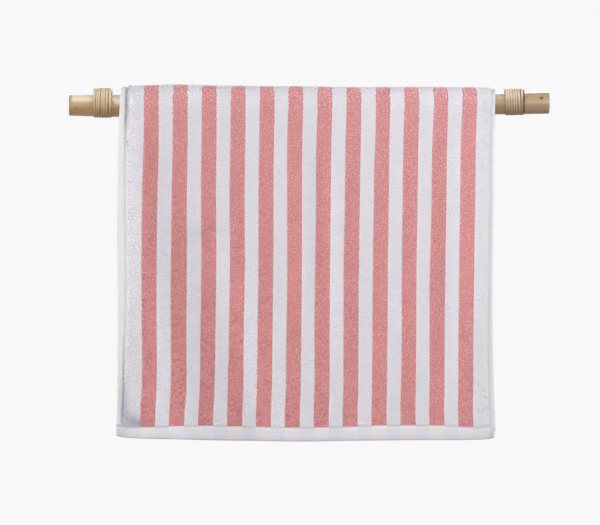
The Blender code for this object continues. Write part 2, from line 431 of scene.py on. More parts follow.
def stack(x, y, z):
    """Points from their three coordinates."""
    return np.stack(np.broadcast_arrays(x, y, z), axis=-1)


def unit(vectors):
    """Vectors of the same directions and length 1."""
    return vectors / np.linalg.norm(vectors, axis=-1, keepdims=True)


def fold_depth(folds, x, z):
    """How far the soft folds push the hanging cloth outwards."""
    depth = 0.0
    for fold in folds:
        top_z = fold.top_z * MM
        low_z = fold.low_z * MM
        share = np.clip((top_z - z) / (top_z - low_z), 0.0, 1.0)
        centre = mix(fold.top_x, fold.low_x, share) * MM
        width = mix(fold.top_width, fold.low_width, share) * MM
        above = soft_step(1.0 - (z - top_z) / FOLD_FADE)
        below = soft_step(1.0 - (low_z - z) / FOLD_FADE)
        depth = depth + fold.depth * MM * above * below * np.exp(-((x - centre) / width) ** 2)
    return depth * soft_step(-z / FOLD_FREE)


def terry_share(across):
    """0 on the flat side hems, 1 on the terry, with a short step between."""
    from_side = np.minimum(across, TOWEL_WIDTH - across) - SIDE_HEM
    return np.clip(from_side / HEM_STEP, 0.0, 1.0)


def curl(across, share):
    """How far the right hem's turned-back edge shifts the cloth along X and inwards."""
    length = np.clip(CURL_LENGTH - (TOWEL_WIDTH - across), 0.0, None)
    angle = length / CURL_RADIUS * share
    radius = CURL_RADIUS / np.maximum(share, 0.05)
    full = CURL_LENGTH / CURL_RADIUS * share
    widen = (CURL_LENGTH - (radius + HEM_THICKNESS / 2.0) * np.sin(full)) * across / TOWEL_WIDTH
    return widen + radius * np.sin(angle) - length, radius * (1.0 - np.cos(angle))


def hanging_point(across, hem, share, side):
    """A point of one flap, a share of the way up from its hem; side is -1 in front and 1 behind."""
    z = mix(hem, 0.0, share)
    left, right = ("left", "right") if side < 0 else ("back_left", "back_right")
    x = mix(read_table(EDGES, left, z), read_table(EDGES, right, z), across / TOWEL_WIDTH)
    turned, inwards = curl(across, 1.0 if side < 0 else BACK_CURL)
    terry_depth = ROD_RADIUS + ROD_CLEARANCE + TERRY_THICKNESS / 2.0
    bare = 1.0 - terry_share(across)
    hem_inset = bare * (TERRY_THICKNESS - HEM_THICKNESS) / 2.0 * soft_step(1.0 + z / SHOULDER_DROP)
    lean = FLAP_LEAN * soft_step(1.0 - share)
    folds = FRONT_FOLDS if side < 0 else BACK_FOLDS
    depth = terry_depth - hem_inset - lean + fold_depth(folds, x, z) - inwards * soft_step(-z / FOLD_FREE)
    return stack(x + turned, side * depth, z)


def crest_point(across, turn):
    """A point of the cloth over the rod, as turn goes from 0 in front to 1 behind."""
    half_thickness = mix(HEM_THICKNESS, TERRY_THICKNESS, terry_share(across)) / 2.0
    half_depth = ROD_RADIUS + ROD_CLEARANCE + half_thickness
    height = read_table(HANG, "crest", across) - half_thickness
    z = height * np.sin(math.pi * turn)
    x = mix(read_table(EDGES, "left", z), read_table(EDGES, "right", z), across / TOWEL_WIDTH)
    turned = curl(across, mix(1.0, BACK_CURL, soft_step(turn)))[0]
    return stack(x + turned, -half_depth * np.cos(math.pi * turn), z)


def cloth_point(across, along):
    """Where the cloth's middle hangs, across it from the left edge and along it from the front hem."""
    across, along = np.broadcast_arrays(across, along)
    front = hanging_point(across, read_table(HANG, "front_hem", across), along / FRONT_DROP, -1)
    back = hanging_point(across, read_table(HANG, "back_hem", across), (TOWEL_LENGTH - along) / BACK_DROP, 1)
    crest = crest_point(across, np.clip((along - FRONT_DROP) / CREST_LENGTH, 0.0, 1.0))
    place = along[..., None]
    return np.where(place <= FRONT_DROP, front, np.where(place >= CREST_END, back, crest))


Place = namedtuple("Place", "point right up out")


def cloth_place(across, along):
    """The cloth's middle at each place, with the ways across it, along it and out of it."""
    reach = 0.0012
    right = cloth_point(across + reach, along) - cloth_point(across - reach, along)
    up = cloth_point(across, along + reach) - cloth_point(across, along - reach)
    out = unit(np.cross(right, up))
    right = unit(right)
    return Place(cloth_point(across, along), right, np.cross(out, right), out)


def from_hems(across, along):
    """How far a place lies from the side hems and from the end hems, below 0 on them."""
    from_side = np.minimum(across - read_table(LEFT_HEM, "width", along), TOWEL_WIDTH - RIGHT_HEM - across)
    from_front = along - read_table(FRONT_HEM, "width", across)
    return from_side, np.minimum(from_front, TOWEL_LENGTH - END_HEM - along)


def inside_terry(across, along):
    """How far inside the border of the terry a place lies, below 0 on the hems. The corners are round."""
    from_side, from_end = from_hems(across, along)
    side_gap = np.clip(CORNER_RADIUS - from_side, 0.0, None)
    end_gap = np.clip(CORNER_RADIUS - from_end, 0.0, None)
    return np.minimum(np.minimum(from_side, from_end), CORNER_RADIUS - np.hypot(side_gap, end_gap))


def from_seam(across, along):
    """As inside_terry, but the end hems run over the left side hem, and the right one runs to the corners."""
    from_side, from_end = from_hems(across, along)
    over = np.where(across < TOWEL_WIDTH / 2.0, from_end, from_side)
    return np.where((from_side < 0.0) & (from_end < 0.0), over, inside_terry(across, along))


def spot_share(spots, across, along):
    """How strong soft-edged spots on the cloth are at a place."""
    share = 0.0
    for spot in spots:
        across_reach = (across - spot.across * MM) / (spot.reach_across * MM)
        along_reach = (along - spot.along * MM) / (spot.reach_along * MM)
        share = share + spot.strength * np.exp(-(across_reach ** 2) - along_reach ** 2)
    return share


def rim_share(across, along):
    """0 at the sheet's outer edge, rising as a round to 1."""
    from_side = np.clip(np.minimum(across, TOWEL_WIDTH - across) / SIDE_RIM, 0.0, 1.0)
    from_end = np.clip(np.minimum(along, TOWEL_LENGTH - along) / END_RIM, 0.0, 1.0)
    return np.sqrt(from_side * (2.0 - from_side)) * np.sqrt(from_end * (2.0 - from_end))


def face_height(across, along, face):
    """How far the sheet's outer face (1) or inner face (-1) lies from its middle."""
    inside = inside_terry(across, along)
    ground = GROUND_HEIGHT if face > 0 else INNER_HEIGHT
    height = mix(HEM_THICKNESS / 2.0, ground, soft_step(inside / FIELD_RISE))
    from_groove = from_seam(across, along) + STITCH_INSET
    groove = np.exp(-(from_groove / GROOVE_WIDTH) ** 2) * groove_depth(across, along)
    if face < 0:
        groove = np.minimum(-groove, 0.0) * 0.8
    return height * rim_share(across, along) - groove


def groove_depth(across, along):
    """How deep the stitched groove beside the hems sinks into the outer face."""
    left = read_table(LEFT_HEM, "groove", along)
    start, length = GROOVE_BLEND
    return mix(left, END_GROOVE, soft_step((across - start) / length))


def stripe_place(across, along):
    """Where a place would lie across the towel if the stripes ran quite straight and evenly."""
    first = read_table(STRIPE_RUN, "first", along)
    last = read_table(STRIPE_RUN, "last", along)
    wander = spot_share(STRIPE_WANDER, across, along) * MM
    return across - mix(first, last, across / TOWEL_WIDTH) - wander


def inside_stripe(across, along):
    """How far inside a coral stripe a place lies, below 0 on the white."""
    place = stripe_place(across, along) - FIRST_STRIPE - STRIPE_WIDTH / 2.0 + STRIPE_PITCH / 2.0
    stripe = np.clip(np.floor(place / STRIPE_PITCH), 0, STRIPES - 1)
    from_middle = np.abs(place - (stripe + 0.5) * STRIPE_PITCH)
    thinner = spot_share(THIN_STRIPE, across, along) * MM
    return read_table(STRIPE_RUN, "width", along) / 2.0 - thinner - from_middle


def grid_corners(rows, columns, closed=False):
    """The corners of a grid's quads, as vertices and as places on its flat map.

    The flat map has one more column than the vertices if the last column meets the first."""
    row, column = np.meshgrid(np.arange(rows - 1), np.arange(columns - 1), indexing="ij")
    row = row.ravel()[:, None] + np.array([0, 0, 1, 1])
    column = column.ravel()[:, None] + np.array([0, 1, 1, 0])
    around = columns - 1 if closed else columns
    return row * around + column % around, row * columns + column


def quad_mesh(name, points, quads, maps):
    """A smooth mesh of quads, with a UV map for each entry of maps: places for every corner."""
    mesh = bpy.data.meshes.new(name)
    mesh.vertices.add(len(points))
    mesh.vertices.foreach_set("co", np.ascontiguousarray(points, np.float32).ravel())
    mesh.loops.add(quads.size)
    mesh.loops.foreach_set("vertex_index", np.ascontiguousarray(quads, np.int32).ravel())
    mesh.polygons.add(len(quads))
    mesh.polygons.foreach_set("loop_start", np.arange(0, quads.size, 4, dtype=np.int32))
    mesh.update(calc_edges=True)
    for map_name, places in maps.items():
        layer = mesh.uv_layers.new(name=map_name)
        layer.uv.foreach_set("vector", np.ascontiguousarray(places, np.float32).ravel())
    mesh.shade_smooth()
    return mesh


def weld(mesh, recalculate=True):
    """Joins the points that meet, and turns the faces outwards."""
    shape = bmesh.new()
    shape.from_mesh(mesh)
    bmesh.ops.remove_doubles(shape, verts=shape.verts, dist=0.000002)
    if recalculate:
        bmesh.ops.recalc_face_normals(shape, faces=shape.faces)
    shape.to_mesh(mesh)
    shape.free()


def add_piece(name, mesh, material):
    """A piece of the object that rides on its one body."""
    piece = bpy.data.objects.new(name, mesh)
    bpy.context.scene.collection.objects.link(piece)
    mesh.materials.append(material)
    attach(piece, "root")
    return piece


def swept_piece(name, points, surface, material):
    """A piece over rows of points, closed round each row, with its own map and a flat one for baking."""
    rows, columns = surface.shape[:2]
    quads, flat = grid_corners(rows, columns, closed=True)
    v, u = np.meshgrid(np.linspace(0.01, 0.99, rows), np.linspace(0.01, 0.99, columns), indexing="ij")
    flat_map = np.stack([u, v], axis=-1).reshape(-1, 2)
    maps = {"surface": surface.reshape(-1, 2)[flat], "OFBake": flat_map[flat]}
    mesh = quad_mesh(name, points.reshape(-1, 3), quads, maps)
    weld(mesh)
    return add_piece(name, mesh, material)


def places_between(low, high, step):
    """Even places from low to high, about a step apart."""
    return np.linspace(low, high, max(2, int(round((high - low) / step)) + 1))


def joined(*runs):
    """The places of all runs in order, once each where two runs meet."""
    places = np.sort(np.concatenate(runs))
    return places[np.append(True, np.diff(places) > 0.000001)]


def sheet_columns():
    """Places across the sheet, close together at the rims, the hems and their grooves."""
    rim = SIDE_RIM * (1.0 - np.cos(np.linspace(0.0, math.pi / 2.0, 5)))
    left = places_between(SIDE_RIM, SIDE_HEM + HEM_STEP, HEM_COLUMN)
    field = places_between(SIDE_HEM + HEM_STEP, TOWEL_WIDTH - RIGHT_HEM - HEM_STEP, FIELD_COLUMN)
    right = places_between(TOWEL_WIDTH - RIGHT_HEM - HEM_STEP, TOWEL_WIDTH - SIDE_RIM, HEM_COLUMN)
    return joined(rim, left, field, right, TOWEL_WIDTH - rim)


def sheet_rows():
    """Places along the sheet, close together at the rims, the hems and over the rod."""
    rim = END_RIM * (1.0 - np.cos(np.linspace(0.0, math.pi / 2.0, 7)))
    hem = places_between(END_RIM, END_HEM + 2.0 * HEM_STEP, HEM_ROW)
    front = places_between(END_HEM + 2.0 * HEM_STEP, FRONT_DROP - CREST_MARGIN, FRONT_ROW)
    crest = places_between(FRONT_DROP - CREST_MARGIN, CREST_END + CREST_MARGIN, CREST_ROW)
    back = places_between(CREST_END + CREST_MARGIN, TOWEL_LENGTH - END_HEM - 2.0 * HEM_STEP, BACK_ROW)
    return joined(rim, hem, front, crest, back, TOWEL_LENGTH - hem, TOWEL_LENGTH - rim)


def make_sheet(material):
    """The towel's sheet: ground cloth and hems, with an outer and an inner face that meet at the rims."""
    across, along = np.meshgrid(sheet_columns(), sheet_rows())
    place = cloth_place(across, along)
    rows, columns = across.shape
    quads, flat = grid_corners(rows, columns)
    surface = np.stack([stripe_place(across, along), along], axis=-1).reshape(-1, 2)
    border = np.stack([from_seam(across, along), groove_depth(across, along)], axis=-1).reshape(-1, 2)
    # How much painted shade lies at each place beside the left hem, as a map for the finish
    dents = np.stack([spot_share(PAINTED_DENT_SHADES, across, along), 0.0 * along], axis=-1).reshape(-1, 2)
    points = []
    faces = []
    surface_maps = []
    border_maps = []
    painted_shade_maps = []
    flat_maps = []
    for face in (1, -1):
        height = face * face_height(across, along, face)[..., None]
        points.append((place.point + place.out * height).reshape(-1, 3))
        turned = quads if face > 0 else quads[:, ::-1]
        corners = flat if face > 0 else flat[:, ::-1]
        faces.append(turned + (0 if face > 0 else across.size))
        surface_maps.append(surface[corners])
        border_maps.append(border[corners])
        painted_shade_maps.append(dents[corners])
        # The two faces lie side by side on the flat map
        half = np.array([0.49 / TOWEL_WIDTH, 0.98 / TOWEL_LENGTH])
        shift = np.array([0.005 if face > 0 else 0.505, 0.01])
        flat_maps.append(np.stack([across, along], axis=-1).reshape(-1, 2)[corners] * half + shift)
    maps = {"surface": surface_maps, "border": border_maps, "dents": painted_shade_maps, "OFBake": flat_maps}
    maps = {name: np.concatenate(places) for name, places in maps.items()}
    mesh = quad_mesh("terry_towel", np.concatenate(points), np.concatenate(faces), maps)
    weld(mesh, recalculate=False)
    return add_piece("terry_towel", mesh, material)


def loop_template():
    """One loop of yarn as rings of points: their place along its plane, their height and three offsets."""
    angle = np.linspace(0.0, math.pi, LOOP_SPANS + 1)[:, None]
    around = (np.arange(LOOP_SIDES) / LOOP_SIDES * 2.0 * math.pi + math.pi / 2.0)[None, :]
    reach = -np.cos(angle) + 0.0 * around
    rise = np.sin(angle) + 0.0 * around
    side = np.cos(around) + 0.0 * angle
    out_reach = np.sin(around) * -np.cos(angle)
    out_rise = np.sin(around) * np.maximum(np.sin(angle), 0.15)
    return [numbers.ravel() for numbers in (reach, rise, side, out_reach, out_rise)]


def pile_roots(pile, seed):
    """Where a pile's loops stand, in uneven rows."""
    draws = np.random.default_rng(seed)
    columns = np.arange(0.0, TOWEL_WIDTH, pile.pitch)
    across, along = np.meshgrid(columns, np.arange(pile.start, pile.end, pile.pitch))
    across = across + draws.uniform(-LOOP_SCATTER, LOOP_SCATTER, across.shape) * pile.pitch
    across[1::2] += pile.pitch / 2.0
    along = along + draws.uniform(-LOOP_SCATTER, LOOP_SCATTER, along.shape) * pile.pitch
    across = across.ravel()
    along = along.ravel()
    inside = inside_terry(across, along)
    kept = (inside > draws.uniform(0.0002, 0.0014, across.shape)) & (along < pile.end)
    kept &= (along >= pile.start) & (np.minimum(*from_hems(across, along)) < pile.border)
    return off_stripe_edges(across[kept], along[kept], EDGE_GAP * pile.pitch), along[kept]


def off_stripe_edges(across, along, gap):
    """Moves loops a little off the stripes' edges, so that the edges run straight."""
    inside = inside_stripe(across, along)
    closeness = np.clip(1.0 - np.abs(inside) / (2.4 * gap), 0.0, 1.0)
    rise = inside_stripe(across + 0.00001, along) - inside
    return across + np.sign(rise * inside) * closeness * gap


def make_pile(pile, materials, seed):
    """Loops of yarn over one face of the terry, white and coral as two pieces."""
    across, along = pile_roots(pile, seed)
    draws = np.random.default_rng(seed + 100)
    count = len(across)
    place = cloth_place(across, along)
    inside = inside_stripe(across, along)
    coral = inside > 0.0
    free = 0.25 + 0.75 * soft_step(np.abs(inside) / EDGE_REACH)
    rough_coral = mix(LOW_ROUGHNESS, TOP_ROUGHNESS, soft_step(along / FRONT_DROP))
    rough_white = WHITE_ROUGHNESS + SPOT_ROUGHNESS * spot_share(ROUGH_PILE_AND_PAINTED_SHADE, across, along)
    uneven = np.where(coral, rough_coral, rough_white)
    root_height = pile.face * (face_height(across, along, pile.face) - LOOP_ROOT)
    ground = place.point + place.out * root_height[:, None]

    def differing(vary, number):
        """Numbers about 0 that differ from patch to patch and from loop to loop."""
        by_patch = vary.by_patch * patchy(across, along, vary.size, seed + number)
        return by_patch + draws.uniform(-vary.by_loop, vary.by_loop, count)

    yaw = mix(math.pi / 2.0, differing(LOOP_TURN, 1), free)
    along_plane = place.right * np.cos(yaw)[:, None] + place.up * np.sin(yaw)[:, None]
    across_plane = np.cross(place.out, along_plane)
    lean_right = uneven * free * differing(LOOP_LEAN, 2)
    lean_up = uneven * differing(LOOP_LEAN, 3)
    way_up = unit(pile.face * place.out + place.right * lean_right[:, None] + place.up * lean_up[:, None])
    height = pile.height * (1.0 + uneven * differing(LOOP_GROWTH, 4))
    yarn_share = np.where(coral, CORAL_YARN_SHARE, WHITE_YARN_SHARE)
    yarn = pile.pitch * yarn_share * draws.uniform(1.0 - YARN_SPREAD, 1.0 + YARN_SPREAD, count)
    reach, rise, side, out_reach, out_rise = loop_template()
    in_plane = reach[None, :] * LOOP_REACH * pile.pitch + out_reach[None, :] * yarn[:, None]
    upwards = rise[None, :] * (height - yarn)[:, None] + out_rise[None, :] * yarn[:, None]
    sideways = side[None, :] * yarn[:, None]
    points = ground[:, None, :] + along_plane[:, None, :] * in_plane[..., None]
    points = points + way_up[:, None, :] * upwards[..., None] + across_plane[:, None, :] * sideways[..., None]
    return [
        add_loops(pile.name + "_white", points[~coral], across[~coral], along[~coral], materials["white"]),
        add_loops(pile.name + "_coral", points[coral], across[coral], along[coral], materials["coral"]),
    ]


def add_loops(name, points, across, along, material):
    """One piece of pile from its loops' points, with each loop in a cell of its own on the flat map."""
    count, size = points.shape[:2]
    quads, flat = grid_corners(LOOP_SPANS + 1, LOOP_SIDES + 1, closed=True)
    quads = quads[:, ::-1]
    flat = flat[:, ::-1]
    u = np.linspace(CELL_EDGE, 1.0 - CELL_EDGE, LOOP_SIDES + 1)
    v, u = np.meshgrid(np.linspace(CELL_EDGE, 1.0 - CELL_EDGE, LOOP_SPANS + 1), u, indexing="ij")
    in_cell = np.stack([u, v], axis=-1).reshape(-1, 2)[flat]
    cells = math.ceil(math.sqrt(count))
    number = np.arange(count)
    cell = np.stack([number % cells, number // cells], axis=-1)
    flat_map = (in_cell[None] + cell[:, None, None, :]) / cells
    surface = np.stack([across, along], axis=-1)[:, None, None, :]
    # Painted shade: the smudges beside the left hem, and flecks of shade on the rough margins
    specks = np.clip(1.5 * patchy(across, along, SPECK_SIZE, SPECK_SEED) - 0.15, 0.0, 1.0)
    shade = spot_share(PAINTED_DENT_SHADES, across, along) + spot_share(ROUGH_PILE_AND_PAINTED_SHADE, across, along) * specks
    dents = np.stack([shade, 0.0 * shade], axis=-1)[:, None, None, :]
    maps = {"surface": surface, "dents": dents, "OFBake": flat_map}
    maps = {name: np.broadcast_to(places, (count, len(quads), 4, 2)) for name, places in maps.items()}
    all_quads = (quads[None] + (number * size)[:, None, None]).reshape(-1, 4)
    mesh = quad_mesh(name, points.reshape(-1, 3), all_quads, maps)
    return add_piece(name, mesh, material)


def stitch_line():
    """Middles of the stitches along all four hems, across and along, and 1 where they run up the cloth."""

    def run(length):
        return np.arange(STITCH_PITCH, length - STITCH_PITCH, STITCH_PITCH)

    up = run(TOWEL_LENGTH)
    over = run(TOWEL_WIDTH)
    left = read_table(LEFT_HEM, "width", up) - STITCH_INSET
    front = read_table(FRONT_HEM, "width", over) - STITCH_INSET
    across = np.concatenate([left, np.full(len(up), TOWEL_WIDTH - RIGHT_HEM + STITCH_INSET), over, over])
    along = np.concatenate([up, up, front, np.full(len(over), TOWEL_LENGTH - END_HEM + STITCH_INSET)])
    upright = np.concatenate([np.ones(2 * len(up)), np.zeros(2 * len(over))])
    return across, along, upright


def make_stitches(material):
    """Short rounded stitches along the hems, on both faces."""
    across, along, upright = stitch_line()
    place = cloth_place(across, along)
    way = np.where(upright[:, None] > 0.5, place.up, place.right)
    side = np.cross(place.out, way)
    angle = np.linspace(0.0, math.pi, STITCH_RINGS)[:, None]
    around = np.linspace(0.0, 2.0 * math.pi, STITCH_SIDES, endpoint=False)[None, :]
    length = (-np.cos(angle) * STITCH_LENGTH / 2.0 + 0.0 * around).ravel()
    thick = np.maximum(np.sin(angle), 0.2) ** 0.5 * STITCH_RADIUS
    sideways = (thick * np.cos(around)).ravel()
    outwards = (thick * np.sin(around)).ravel()
    points = []
    for face in (1, -1):
        height = face * (face_height(across, along, face) + 0.00005)
        middle = place.point + place.out * height[:, None]
        points.append(
            middle[:, None, :]
            + way[:, None, :] * length[None, :, None]
            + side[:, None, :] * sideways[None, :, None]
            + place.out[:, None, :] * outwards[None, :, None]
        )
    points = np.concatenate(points)
    quads = grid_corners(STITCH_RINGS, STITCH_SIDES + 1, closed=True)[0]
    starts = np.arange(len(points)) * STITCH_RINGS * STITCH_SIDES
    all_quads = (quads[None] + starts[:, None, None]).reshape(-1, 4)
    mesh = quad_mesh("hem_stitching", points.reshape(-1, 3), all_quads, {})
    return add_piece("hem_stitching", mesh, material)


def make_rod(material):
    """The rod with a natural surface: slight waves, and a fine groove inside the rim of each cut end."""
    half = (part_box("rod")[1].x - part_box("rod")[0].x) / 2.0
    cut = ROD_EDGE * (1.0 - np.sin(np.linspace(0.0, math.pi / 2.0, ROD_EDGE_ROWS + 1)[:-1]))
    run = np.linspace(-half + ROD_EDGE, half - ROD_EDGE, ROD_ROWS)
    face = np.full(ROD_FACE_ROWS, half)
    x = np.concatenate([-face, -half + cut, run, half - cut[::-1], face])
    face_inset = np.full(ROD_FACE_ROWS, ROD_EDGE)
    inset = np.concatenate([face_inset, cut, np.zeros(ROD_ROWS), cut[::-1], face_inset])
    face_share = np.arange(ROD_FACE_ROWS) / ROD_FACE_ROWS
    share = np.concatenate([face_share, np.ones(len(x) - 2 * ROD_FACE_ROWS), face_share[::-1]])
    angle = np.linspace(0.0, 2.0 * math.pi, ROD_SIDES, endpoint=False)[None, :]
    waves = ROD_WAVES * patchy(angle * 0.014, x[:, None], 0.016, ROD_SEED)
    radius = (read_table(ROD_BOW, "radius", x)[:, None] - inset[:, None] + waves) * share[:, None]
    axis = read_table(ROD_BOW, "axis", x)[:, None]
    points = stack(x[:, None] + 0.0 * angle, -radius * np.cos(angle), axis + radius * np.sin(angle))
    turn = np.linspace(0.0, 2.0 * math.pi, ROD_SIDES + 1)[None, :]
    surface = np.stack(np.broadcast_arrays(x[:, None], turn * ROD_RADIUS), axis=-1)
    rod = swept_piece("wooden_rod", points, surface, material)
    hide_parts("rod")


def winding_wall(winding, angle):
    """How far the winding's outside stands off the rod at an angle round it; 90 degrees is on top."""
    upward = (1.0 + np.sin(angle)) / 2.0
    return mix(winding.proud_under, winding.proud_top, upward ** 2) * MM


def make_winding(winding, material, seed):
    """One flat strand wound seven times round the rod, with the ends of its first and last turn sunk."""
    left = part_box(winding.node)[0].x
    turns = len(winding.turns)
    turn = np.linspace(-0.5, turns - 0.5, turns * STRAND_STEPS + 1)
    numbers = np.arange(-1, turns + 1)
    reach = winding.turns[1] - winding.turns[0]
    starts = np.array([winding.turns[0] - reach, *winding.turns, winding.turns[-1] + reach]) * MM
    middle = left + np.clip(np.interp(turn, numbers, starts), starts[1], starts[-2])
    angle = 2.0 * math.pi * turn * winding.slant
    draws = np.random.default_rng(seed)
    lift = STRAND_LIFT * np.interp(turn, np.linspace(-1, turns, 40), draws.uniform(-1.0, 1.0, 40))
    around = np.linspace(0.0, 2.0 * math.pi, STRAND_SIDES, endpoint=False)[None, :]
    widths = np.clip(np.gradient(np.array(winding.turns)), winding.width - 0.3, winding.width + 0.4)
    width = np.interp(turn, np.arange(turns), widths)[:, None] * MM / 2.0
    ends = np.minimum(turn - turn[0], turn[-1] - turn) * 2.0 * math.pi * ROD_RADIUS
    taper = np.clip(ends / TAPER_LENGTH, 0.25, 1.0)[:, None]
    across = np.sign(np.cos(around)) * np.abs(np.cos(around)) ** 0.7 * width * taper
    through = np.sin(around) * STRAND_THICKNESS / 2.0 * taper
    x = middle[:, None] + across
    wall = winding_wall(winding, angle) + lift - STRAND_THICKNESS / 2.0
    tucked = (1.0 - np.clip(ends / SUNK_LENGTH, 0.0, 1.0)) * SUNK_DEPTH
    radius = (read_table(ROD_BOW, "radius", middle) + wall - tucked)[:, None] + through
    axis = read_table(ROD_BOW, "axis", middle)[:, None]
    points = stack(x, -radius * np.cos(angle)[:, None], axis + radius * np.sin(angle)[:, None])
    length = turn[:, None] * 2.0 * math.pi * ROD_RADIUS
    girth = np.linspace(0.0, 2.0 * winding.width * MM, STRAND_SIDES + 1)[None, :]
    surface = np.stack(np.broadcast_arrays(girth, length), axis=-1)
    piece = swept_piece(winding.node + "_strand", points, surface, material)
    cap_ends(piece.data)
    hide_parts(winding.node)


def cap_ends(mesh):
    """Closes a tube's open ends."""
    shape = bmesh.new()
    shape.from_mesh(mesh)
    bmesh.ops.holes_fill(shape, edges=[edge for edge in shape.edges if edge.is_boundary], sides=0)
    shape.to_mesh(mesh)
    shape.free()


def make_tucked_ends(winding, material):
    """The strand's doubled ends, laid along the top of the rod in rows under the turns."""
    low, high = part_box(winding.node)
    rows = int(round((winding.proud_top * MM - STRAND_THICKNESS) / (2.0 * TUCK_RADIUS)))
    rounding = np.array(TUCK_ROUNDING)
    x = np.concatenate([low.x + rounding, high.x - rounding[::-1]])
    size = np.array([0.0, 0.8, 1.0, 1.0, 0.8, 0.0])
    around = np.linspace(0.0, 2.0 * math.pi, TUCK_SIDES, endpoint=False)
    for row in range(rows):
        count = 2 * (rows - row)
        distance = TUCK_RADIUS * (2.0 * row + 1.0) + TUCK_GAP
        for number in range(count):
            spread = (number - (count - 1) / 2.0) * TUCK_SPACING / (ROD_RADIUS + distance)
            angle = math.pi / 2.0 + spread
            radius = read_table(ROD_BOW, "radius", x) + distance
            y = -radius * math.cos(angle)
            z = read_table(ROD_BOW, "axis", x) + radius * math.sin(angle)
            side = size[:, None] * TUCK_RADIUS
            points = stack(
                x[:, None] + 0.0 * around,
                y[:, None] + side * np.cos(around)[None, :],
                z[:, None] + side * np.sin(around)[None, :],
            )
            turn = np.linspace(0.0, 2.0 * math.pi, TUCK_SIDES + 1)[None, :]
            surface = np.stack(np.broadcast_arrays(turn * TUCK_RADIUS, x[:, None]), axis=-1)
            name = "%s_tuck_%d_%d" % (winding.node, row + 1, number + 1)
            swept_piece(name, points, surface, material)


class Value:
    """A socket of a finish that takes part in sums, such as 1 - mask."""

    def __init__(self, finish, socket):
        self.finish = finish
        self.socket = socket

    def maths(self, operation, *terms):
        return self.finish.add("ShaderNodeMath", {"operation": operation}, dict(enumerate(terms)))

    def __add__(self, other):
        return self.maths("ADD", self, other)

    def __sub__(self, other):
        return self.maths("SUBTRACT", self, other)

    def __rsub__(self, other):
        return self.maths("SUBTRACT", other, self)

    def __mul__(self, other):
        return self.maths("MULTIPLY", self, other)

    def __truediv__(self, other):
        return self.maths("DIVIDE", self, other)

    def __gt__(self, other):
        return self.maths("GREATER_THAN", self, other)

    def __lt__(self, other):
        return self.maths("LESS_THAN", self, other)

    __radd__ = __add__
    __rmul__ = __mul__

    def power(self, exponent):
        return self.maths("POWER", self, exponent)

    def sine(self):
        return self.maths("SINE", self)

    def absolute(self):
        return self.maths("ABSOLUTE", self)

    def fraction(self):
        return self.maths("FRACT", self)

    def within(self, low, high):
        """0 at low and below, 1 at high and above, easy between."""
        settings = {"interpolation_type": "SMOOTHSTEP"}
        return self.finish.add("ShaderNodeMapRange", settings, {0: self, 1: low, 2: high})


class Finish:
    """A material and its nodes."""

    def __init__(self, name):
        self.material = bpy.data.materials.new(name)
        self.material.use_nodes = True
        self.nodes = self.material.node_tree.nodes
        self.links = self.material.node_tree.links
        self.shader = self.nodes["Principled BSDF"]

    def add(self, kind, settings=None, sockets=None, output=0):
        """Adds a node, sets it up, then gives its sockets their values or links, and returns one output."""
        node = self.nodes.new(kind)
        for name, value in (settings or {}).items():
            if name == "stops":
                set_stops(node.color_ramp, value)
            else:
                setattr(node, name, value)
        for name, value in (sockets or {}).items():
            self.put(node.inputs[name], value)
        return Value(self, node.outputs[output])

    def put(self, socket, value):
        if isinstance(value, Value):
            self.links.new(value.socket, socket)
        else:
            socket.default_value = value

    def blend(self, share, low, high):
        """A colour a share of the way from low to high."""
        return self.add("ShaderNodeMix", {"data_type": "RGBA"}, {0: share, 6: low, 7: high}, output=2)

    def ramp(self, share, stops):
        return self.add("ShaderNodeValToRGB", {"stops": stops}, {0: share})

    def parts(self, place):
        """The three numbers of a place."""
        node = self.add("ShaderNodeSeparateXYZ", {}, {0: place}).socket.node
        return [Value(self, output) for output in node.outputs]

    def on_map(self, name="surface"):
        """The place on one of the piece's own maps, and its two numbers."""
        place = self.add("ShaderNodeUVMap", {"uv_map": name})
        return [place] + self.parts(place)[:2]

    def stretched(self, place, scale):
        return self.add("ShaderNodeVectorMath", {"operation": "MULTIPLY"}, {0: place, 1: scale})

    def noise(self, place, scale, detail=2.0, roughness=0.5):
        sockets = {"Vector": place, "Scale": scale, "Detail": detail, "Roughness": roughness}
        return self.add("ShaderNodeTexNoise", {}, sockets)

    def object_place(self):
        return self.add("ShaderNodeTexCoord", {}, {}, output=3)

    def bump(self, height, distance, strength=1.0):
        sockets = {"Strength": strength, "Distance": distance, "Height": height}
        self.put(self.shader.inputs["Normal"], self.add("ShaderNodeBump", {}, sockets))

    def finish(self, colour, roughness, **constants):
        """Connects the colour and roughness, and sets the shader's other sockets."""
        self.put(self.shader.inputs["Base Color"], colour)
        self.put(self.shader.inputs["Roughness"], roughness)
        for name, value in constants.items():
            self.shader.inputs[name.replace("_", " ")].default_value = value
        return self.material


def set_stops(ramp, stops):
    """Gives a colour ramp its stops: places and colours."""
    while len(ramp.elements) < len(stops):
        ramp.elements.new(1.0)
    for element, (place, colour) in zip(ramp.elements, stops):
        element.position = place
        element.color = colour
